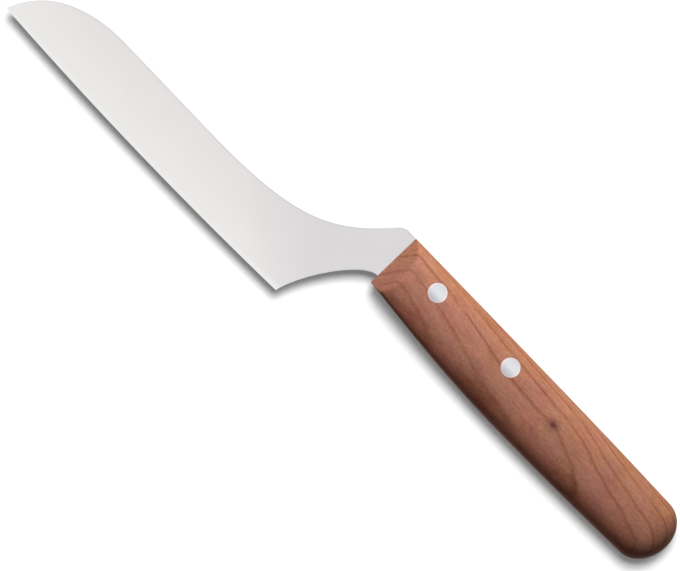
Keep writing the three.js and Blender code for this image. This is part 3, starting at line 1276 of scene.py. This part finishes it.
@dataclass
class Blade:
    """Thin blade on a cranked neck, with a half tang inside the handle, all one sheet."""

    handle: Handle
    thickness: float = 1.4
    edge_length: float = 112.0
    heel_ahead: float = 17.2
    spine_drop: float = 12.3
    height: float = 17.8
    edge_bulge: float = 1.2
    edge_half: float = 0.02  # least half thickness at the cutting edge
    bevel_height: float = 0.6
    bevel_thickness: float = 0.35
    bevel_first_row: float = 0.02
    grind_hollow: float = 1.3  # exponent, 1 for a flat grind
    tip_curve_length: float = 31.2
    tip_curve_angle: float = 71.0
    tip_spine_pull: float = 15.5
    tip_edge_pull: float = 12.7
    sweep_length: float = 57.2
    sweep_slope: float = 50.0
    sweep_spine_pull: float = 35.5
    sweep_corner_pull: float = 19.0
    neck_land: float = 2.75
    neck_corner_radius: float = 4.1
    heel_curve_angle: float = 78.8
    heel_pull: float = 8.5
    neck_pull: float = 5.5
    tang_cover: float = 2.7
    tang_end: float = 58.3
    tang_end_radius: float = 30.0
    edge_rounding: float = 0.60
    tang_rounding: float = 0.08
    rounding_of_height: float = 0.4  # largest share of the sheet's height that a rim takes
    rounding_of_half: float = 0.9  # and of its half thickness
    tip_points: int = 48
    bend_points: int = 56
    spine_steps: int = 14
    corner_steps: int = 10
    edge_steps: int = 60
    tang_steps: int = 40
    tang_end_steps: int = 24
    round_steps: int = 8
    face_rows: int = 18
    station_gap: float = 0.06
    sharp_angle: float = 12.5
    heel: Vector = field(init=False)
    tip: Vector = field(init=False)
    tang_floor: float = field(init=False)
    upper_runs: list[Run] = field(init=False)
    lower_runs: list[Run] = field(init=False)

    def __post_init__(self) -> None:
        """Draws the upper and lower outline from the sizes."""
        heel_y = -self.spine_drop - self.height
        self.heel = Vector((-self.heel_ahead, heel_y))
        self.tip = Vector((-self.heel_ahead - self.edge_length, heel_y))
        self.tang_floor = -self.handle.belly_at_front + self.tang_cover
        self.upper_runs = self.draw_upper()
        self.lower_runs = self.draw_lower()

    @staticmethod
    def bend(start: Vector, start_pull: Vector, end_pull: Vector, end: Vector, count: int) -> Run:
        """Draws a smooth bend from left to right through a number of points."""
        return Run.through(interpolate_bezier(start, start_pull, end_pull, end, count))

    def draw_upper(self) -> list[Run]:
        """Draws the tip curve, spine, sweep up the neck, rounded corner and tang top.

        Returns:
            The runs from left to right.
        """
        spine = -self.spine_drop
        tip_start = Vector((self.tip.x + self.tip_curve_length, spine))
        tip = self.bend(
            self.tip,
            self.tip + direction(self.tip_curve_angle) * self.tip_edge_pull,
            tip_start - Vector((self.tip_spine_pull, 0.0)),
            tip_start,
            self.tip_points,
        )
        neck_top = self.handle.spine_at_front
        corner = Vector((-self.neck_land, neck_top - self.neck_corner_radius))
        sweep_top = corner + direction(90.0 + self.sweep_slope) * self.neck_corner_radius
        sweep_start = Vector((sweep_top.x - self.sweep_length, spine))
        sweep = self.bend(
            sweep_start,
            sweep_start + Vector((self.sweep_spine_pull, 0.0)),
            sweep_top - direction(self.sweep_slope) * self.sweep_corner_pull,
            sweep_top,
            self.bend_points,
        )
        turns = (90.0 + self.sweep_slope, 90.0)
        arc = Run.arc(corner, self.neck_corner_radius, turns, self.corner_steps)
        straight = sweep_start.x - tip_start.x
        places = [tip_start.x + straight * share for share in shares(self.spine_steps)]
        flat = Run(tuple((x, spine) for x in places))
        land = Run(((corner.x, neck_top), (0.0, neck_top)))
        places = [self.tang_end * share for share in shares(self.tang_steps)]
        tang = Run(tuple((x, self.handle.spine(x)) for x in places))
        return [tip, flat, sweep, arc, land, tang]

    def draw_lower(self) -> list[Run]:
        """Draws the cutting edge, heel curve and tang floor with its rising end.

        Returns:
            The runs from left to right.
        """
        edge = []
        for share in shares(self.edge_steps):
            bulge = self.edge_bulge * (1 - (2 * share - 1) ** 2)
            edge.append((self.tip.x + self.edge_length * share, self.heel.y - bulge))
        heel = self.bend(
            self.heel,
            self.heel + direction(self.heel_curve_angle) * self.heel_pull,
            Vector((-self.neck_pull, self.tang_floor)),
            Vector((0.0, self.tang_floor)),
            self.bend_points,
        )
        radius = self.tang_end_radius
        rise = self.handle.spine(self.tang_end) - self.tang_floor
        turn = math.acos(1.0 - rise / radius)
        centre = Vector((self.tang_end - radius * math.sin(turn), self.tang_floor + radius))
        turns = (-90.0, math.degrees(turn) - 90.0)
        end = Run.arc(centre, radius, turns, self.tang_end_steps)
        floor = Run(((0.0, self.tang_floor), (end.points[0][0], self.tang_floor)))
        return [Run(tuple(edge)), heel, floor, end]

    @staticmethod
    def height_in(runs: list[Run], x: float) -> float:
        """Measures the height of an outline of several runs.

        Args:
            runs: The runs from left to right.
            x: Place along the blade.

        Returns:
            Height there.
        """
        for run in runs:
            if x <= run.points[-1][0]:
                return run.height(x)
        return runs[-1].points[-1][1]

    def upper(self, x: float) -> float:
        """Height of the upper outline."""
        return self.height_in(self.upper_runs, x)

    def lower(self, x: float) -> float:
        """Height of the lower outline."""
        return self.height_in(self.lower_runs, x)

    def stations(self) -> list[float]:
        """Finds the places along the blade where its outline has points.

        Returns:
            The places from left to right, without crowding.
        """
        runs = self.upper_runs + self.lower_runs
        places = sorted(point[0] for run in runs for point in run.points)
        kept = [places[0]]
        for place in places:
            if place - kept[-1] > self.station_gap:
                kept.append(place)
        kept[-1] = places[-1]
        return kept

    def half_thickness(self, x: float, y: float) -> float:
        """Half the sheet's thickness, ground thinner from the spine line down to the edge.

        Args:
            x: Place along the blade.
            y: Height.

        Returns:
            Half the thickness there.
        """
        edge = self.lower(x) if x <= self.heel.x else self.heel.y
        bevel_top = edge + self.bevel_height
        thin = self.bevel_thickness / 2
        if y <= bevel_top:
            return max(thin * (y - edge) / self.bevel_height, self.edge_half)
        share = min(max((-self.spine_drop - y) / (-self.spine_drop - bevel_top), 0.0), 1.0)
        return self.thickness / 2 - (self.thickness / 2 - thin) * share**self.grind_hollow

    def rounding(self, x: float) -> float:
        """Radius of the sheet's rims: round on the blade, almost sharp where the tang is flush."""
        share = min(max(-x / self.neck_land, 0.0), 1.0)
        return self.tang_rounding + (self.edge_rounding - self.tang_rounding) * share

    def rim(self, x: float, y: float, inwards: float, room: float) -> list[Point]:
        """Rounds a rim of the sheet.

        Args:
            x: Place along the blade.
            y: Height of the rim.
            inwards: 1 at the lower rim, -1 at the upper one.
            room: Height of the sheet.

        Returns:
            Pairs of height and half thickness, from the rim inwards.
        """
        half = self.half_thickness(x, y)
        room *= self.rounding_of_height
        radius = min(self.rounding(x), room, self.rounding_of_half * half)
        rows = [(y, 0.0)]
        for share in shares(self.round_steps):
            turn = share * math.pi / 2
            inset = inwards * radius * (1 - math.cos(turn))
            rows.append((y + inset, half - radius * (1 - math.sin(turn))))
        return rows

    def bevel(self, x: float, room: float) -> list[Point]:
        """Bevels the cutting edge.

        Args:
            x: Place along the blade.
            room: Height of the sheet.

        Returns:
            Pairs of height and half thickness, from the edge upwards, as many as on a rim.
        """
        low = self.lower(x)
        height = min(self.bevel_height, self.rounding_of_height * room)
        thick = self.half_thickness(x, low + height) if height > 0.0 else 0.0
        rows = [0.0, self.bevel_first_row] + shares(self.round_steps)[1:]
        return [(low + height * share, thick * share) for share in rows]

    def profile(self, x: float) -> list[Point]:
        """Section of the upper half of the sheet, from the lower rim to the upper rim.

        Args:
            x: Place along the blade.

        Returns:
            Pairs of height and half thickness, the same number everywhere.
        """
        low, high = self.lower(x), self.upper(x)
        room = max(high - low, 0.0)
        rows = self.bevel(x, room) if x <= self.heel.x else self.rim(x, low, 1.0, room)
        upper_rim = self.rim(x, high, -1.0, room)
        bottom, top = rows[-1][0], upper_rim[-1][0]
        for share in shares(self.face_rows)[1:-1]:
            y = bottom + (top - bottom) * share
            rows.append((y, self.half_thickness(x, y)))
        rows += reversed(upper_rim)
        return rows if room > 0.0 else [(high, 0.0)] * len(rows)

    def build(self, rivets: "list[Rivet]") -> bpy.types.Object:
        """Makes the blade with its rivet holes, and marks the sharpened bevel that gets a painted
        highlight.

        Args:
            rivets: Rivets that pass through the tang.

        Returns:
            The piece, in millimetres.
        """
        stations = self.stations()
        profiles = [self.profile(x) for x in stations]
        mesh = bmesh.new()
        # marks the sharpened bevel for its painted highlight
        honed_highlight = mesh.verts.layers.float.new("honed_highlight")
        for vert, column, row in lay_grid(mesh, len(stations), len(profiles[0])):
            x = stations[column]
            vert.co = (x, *profiles[column][row])
            vert[honed_highlight] = float(x <= self.heel.x and row <= self.round_steps + 1)
        geometry = mesh.verts[:] + mesh.edges[:] + mesh.faces[:]
        bmesh.ops.mirror(mesh, geom=geometry, axis="Z", merge_dist=MIRROR_SEAM)
        smooth_mesh(mesh, self.sharp_angle)
        piece = new_piece("ground_blade", mesh)
        for rivet in rivets:
            carve(piece, rivet.hole())
        return piece


@dataclass
class Rivet:
    """Rivet of two halves, a tube and a pin pressed into it, with flush heads."""

    name: str
    handle: Handle
    x: float
    y: float
    head_diameter: float = 5.9
    head_sink: float = 2.6
    tube_diameter: float = 4.0
    tube_gap: float = 0.1  # between the tube's end and the other head
    bore_diameter: float = 2.7
    pin_diameter: float = 2.4
    pin_gap: float = 0.2
    rim_width: float = 0.75
    rim_drop: float = 0.03
    rim_rounding: float = 0.10
    skirt: float = 0.5  # above the seat, where the head starts to follow the wood
    hole_play: float = 0.05
    hole_overrun: float = 3.0
    flat_steps: int = 5
    rim_steps: int = 3
    round_steps: int = 4
    steps: int = 72
    sharp_angle: float = 40.0

    @property
    def seat(self) -> float:
        """Height of the head's underside above the middle plane."""
        return self.handle.thickness / 2 - self.head_sink

    def head(self) -> list[Point]:
        """Draws a head's top.

        Returns:
            Pairs of radius and height above the wood, from the axis to the rim.
        """
        radius = self.head_diameter / 2
        ring, last = radius - self.rim_width, radius - self.rim_rounding
        profile = [(ring * share, 0.0) for share in shares(self.flat_steps)]
        for share in shares(self.rim_steps)[1:]:
            profile.append((ring + (last - ring) * share, -self.rim_drop * share))
        low = -self.rim_drop - self.rim_rounding
        for share in shares(self.round_steps)[1:]:
            out = self.rim_rounding * math.sin(share * math.pi / 2)
            up = self.rim_rounding * math.cos(share * math.pi / 2)
            profile.append((last + out, low + up))
        return profile

    def build(self, half: RivetHalf) -> bpy.types.Object:
        """Makes one half of the rivet, and marks where its points lie on the head.

        Args:
            half: Which half.

        Returns:
            The piece, in millimetres.
        """
        top, seat = self.handle.thickness / 2, self.seat
        head_radius = self.head_diameter / 2
        profile = [(radius, top + height) for radius, height in self.head()]
        profile.append((head_radius, seat))
        if half is RivetHalf.TUBE:
            tube, bore, end = self.tube_diameter / 2, self.bore_diameter / 2, self.tube_gap - seat
            profile += [(tube, seat), (tube, end), (bore, end), (bore, seat), (0.0, seat)]
        else:
            pin, end = self.pin_diameter / 2, self.pin_gap - seat
            profile += [(pin, seat), (pin, end), (0.0, end)]
        mesh = turned(profile, (self.x, self.y), self.steps)
        radius_share = mesh.verts.layers.float.new("radius_share")
        height_share = mesh.verts.layers.float.new("height_share")
        for vert in mesh.verts:
            x, y = vert.co.x - self.x, vert.co.y - self.y
            vert[radius_share] = math.hypot(x, y) / head_radius
            vert[height_share] = y / head_radius
            if vert.co.z > seat + self.skirt:
                vert.co.z += self.handle.side(vert.co.x, vert.co.y) - top
        bmesh.ops.scale(mesh, vec=(1.0, 1.0, half.value), verts=mesh.verts[:])
        smooth_mesh(mesh, self.sharp_angle)
        return new_piece(f"{self.name}_rivet_{half.name.lower()}_turned", mesh)

    def cutter(self, upper: list[Point]) -> bmesh.types.BMesh:
        """Turns a cutter from its upper half, which the lower half mirrors."""
        lower = [(radius, -height) for radius, height in reversed(upper)]
        return turned(upper + lower, (self.x, self.y), self.steps)

    def bore(self, play: float) -> bmesh.types.BMesh:
        """Shapes the stepped bore through the handle.

        Args:
            play: Room left around the rivet.

        Returns:
            Closed mesh that is cut away.
        """
        head, tube = self.head_diameter / 2 + play, self.tube_diameter / 2 + play
        top, seat = self.handle.thickness, self.seat - play
        return self.cutter([(0.0, top), (head, top), (head, seat), (tube, seat)])

    def hole(self) -> bmesh.types.BMesh:
        """Shapes the hole through the tang."""
        radius = self.tube_diameter / 2 + self.hole_play
        return self.cutter([(0.0, self.hole_overrun), (radius, self.hole_overrun)])


@dataclass(frozen=True)
class SoftLamp:
    """Square soft lamp on the spine side."""

    name: str
    level: float
    elevation: float
    size: float
    distance: float
    lights_floor: bool

    def hang(self, aim: Vector, swing: float) -> bpy.types.Object:
        """Hangs the lamp so that it faces a point.

        Args:
            aim: Point that it lights.
            swing: Angle from the spine side towards the tip.

        Returns:
            The lamp, out of sight of camera and gloss.
        """
        data = bpy.data.lights.new(self.name, "AREA")
        data.shape = "SQUARE"
        data.size = self.size
        data.energy = self.level * (math.pi * self.distance) ** 2
        rise = math.radians(self.elevation)
        level = direction(90.0 + swing) * math.cos(rise)
        back = Vector((level.x, level.y, math.sin(rise)))
        lamp = bpy.data.objects.new(self.name, data)
        lamp.location = aim + back * self.distance
        lamp.rotation_euler = back.to_track_quat("Z", "Y").to_euler()
        lamp.visible_camera = False
        lamp.visible_glossy = False
        bpy.context.collection.objects.link(lamp)
        return lamp


@dataclass
class Studio:
    """White table seen straight down, with one soft lamp for the knife and one for the table."""

    image_width: float = 680.0
    pixel: float = 0.287
    lens: float = 400.0
    sensor: float = 36.0
    turn: float = 46.3
    middle: Point = (-5.42, -15.86)
    floor_size: float = 6.0
    floor_pale: float = 0.096  # as a source of light, where it isn't seen
    floor_seen: float = 1.0
    floor_lift: float = 0.16  # keeps the shadow from going black
    ambient: float = 0.06
    horizon: float = 0.62
    zenith: float = 0.9  # height from which reflections show full white
    bounced: float = 0.5  # diffuse bounces that separate none from one
    lamp_swing: float = 30.0
    lamps: tuple[SoftLamp, ...] = (
        SoftLamp(
            "key_lamp", level=1.26, elevation=42.0, size=0.50, distance=1.0, lights_floor=False
        ),
        SoftLamp(
            "table_lamp", level=1.025, elevation=69.5, size=1.7, distance=4.0, lights_floor=True
        ),
    )

    def build(self, place: Matrix) -> None:
        """Sets up everything around the knife.

        Args:
            place: Where the millimetre grid lies in the model's frame.
        """
        bpy.context.scene.view_settings.view_transform = "Standard"
        aim = place @ Vector((*self.middle, 0.0))
        self.camera(aim)
        floor = self.floor()
        self.world()
        for lamp in self.lamps:
            self.aim_at_floor(lamp.hang(aim, self.lamp_swing), floor, lamp.lights_floor)

    @staticmethod
    def aim_at_floor(lamp: bpy.types.Object, floor: bpy.types.Object, lit: bool) -> None:
        """Lets a lamp light the floor alone, or everything but the floor.

        Args:
            lamp: The lamp.
            floor: The floor.
            lit: Whether the lamp is for the floor.
        """
        group = bpy.data.collections.new("floor_for_" + lamp.name)
        group.objects.link(floor)
        group.collection_objects[0].light_linking.link_state = "INCLUDE" if lit else "EXCLUDE"
        lamp.light_linking.receiver_collection = group

    def camera(self, aim: Vector) -> None:
        """Hangs the camera, turned so that the knife lies across the picture.

        Args:
            aim: Point in the middle of the picture.
        """
        data = bpy.data.cameras.new("camera")
        data.lens = self.lens
        data.sensor_width = self.sensor
        width = self.image_width * self.pixel * MILLIMETRE
        camera = bpy.data.objects.new("camera", data)
        camera.location = aim + Vector((0.0, 0.0, width * self.lens / self.sensor))
        camera.rotation_euler = (0.0, 0.0, math.radians(self.turn))
        bpy.context.collection.objects.link(camera)
        bpy.context.scene.camera = camera

    def lines_of_sight(self, board: NodeBoard) -> tuple[Socket, Socket]:
        """Tells rays that show a surface from rays that only carry light.

        Args:
            board: Board of the material or world that the rays meet.

        Returns:
            Masks of what the camera sees, straight or through something clear, and in a mirror.
        """
        path = board.add("ShaderNodeLightPath").outputs
        straight = board.math("LESS_THAN", path["Diffuse Depth"], self.bounced)
        direct = board.math("MAXIMUM", path["Is Camera Ray"], path["Is Transmission Ray"])
        return direct, board.product(path["Is Glossy Ray"], straight)

    def floor(self) -> bpy.types.Object:
        """Lays the white table, which keeps the shadow.

        Returns:
            The table.
        """
        mesh = bmesh.new()
        bmesh.ops.create_grid(mesh, x_segments=1, y_segments=1, size=self.floor_size / 2)
        floor = new_piece("floor", mesh)
        material = bpy.data.materials.new("white_table")
        board = NodeBoard(emptied(material))
        seen = board.math("MAXIMUM", *self.lines_of_sight(board))
        colour = board.blend(seen, (self.floor_pale,) * 3, (self.floor_seen,) * 3)
        matt = board.add("ShaderNodeBsdfDiffuse", {"Color": colour})
        lift = board.product(seen, self.floor_lift)
        glow = board.add("ShaderNodeEmission", {"Color": WHITE, "Strength": lift})
        shader = board.add("ShaderNodeAddShader")
        board.feed(shader.inputs[0], matt.outputs["BSDF"])
        board.feed(shader.inputs[1], glow.outputs["Emission"])
        board.add("ShaderNodeOutputMaterial", {"Surface": shader.outputs["Shader"]})
        floor.data.materials.append(material)
        return floor

    def world(self) -> None:
        """Surrounds the scene with white, dim as a light, and dimmer low down in reflections."""
        world = bpy.data.worlds.new("white_studio")
        bpy.context.scene.world = world
        board = NodeBoard(emptied(world))
        world.cycles.sampling_method = "NONE"
        direct, mirrored = self.lines_of_sight(board)
        rise = board.axes(board.add("ShaderNodeTexCoord").outputs["Generated"])["Z"]
        sky = board.ease(rise, (0.0, self.zenith), (self.horizon, 1.0))
        level = board.math("MAXIMUM", board.product(mirrored, sky), self.ambient)
        level = board.math("MAXIMUM", level, direct)
        shader = board.add("ShaderNodeBackground", {"Color": WHITE, "Strength": level})
        board.add("ShaderNodeOutputWorld", {"Surface": shader.outputs["Background"]})


def grid_place(handle: Handle) -> Matrix:
    """Finds where the millimetre grid lies: at the front end of the handle's axis in the model.

    Args:
        handle: Handle, for the height of its spine above the axis.

    Returns:
        Matrix from the grid to the model's frame.
    """
    low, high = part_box("handle")
    crown = handle.spine_crown * MILLIMETRE
    origin = Vector((low.x, high.y - crown, (low.z + high.z) / 2))
    return Matrix.Translation(origin) @ Matrix.Scale(MILLIMETRE, 4)


def main() -> None:
    """Builds the knife and its studio."""
    logging.basicConfig(level=logging.INFO, format="%(name)s: %(message)s")
    LOG.info("model with %d nodes", len(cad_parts))
    handle = Handle()
    blade = Blade(handle)
    rivets = [Rivet("front", handle, x=15.4, y=2.9), Rivet("rear", handle, x=45.3, y=3.2)]
    place = grid_place(handle)
    effects = Effects(GrindMarks().group(), CloudyTone().group())
    finishes = (SatinSteel(), FruitWood(), GroundAluminium())
    steel, wood, aluminium = (finish.material(effects, place) for finish in finishes)
    Studio().build(place)
    settle(blade.build(rivets), place, steel, "blade")
    settle(handle.build(blade, rivets), place, wood, "handle")
    for rivet in rivets:
        for half in RivetHalf:
            node = f"{rivet.name}_rivet_{half.name.lower()}"
            settle(rivet.build(half), place, aluminium, node)


if __name__ == "__main__":
    main()
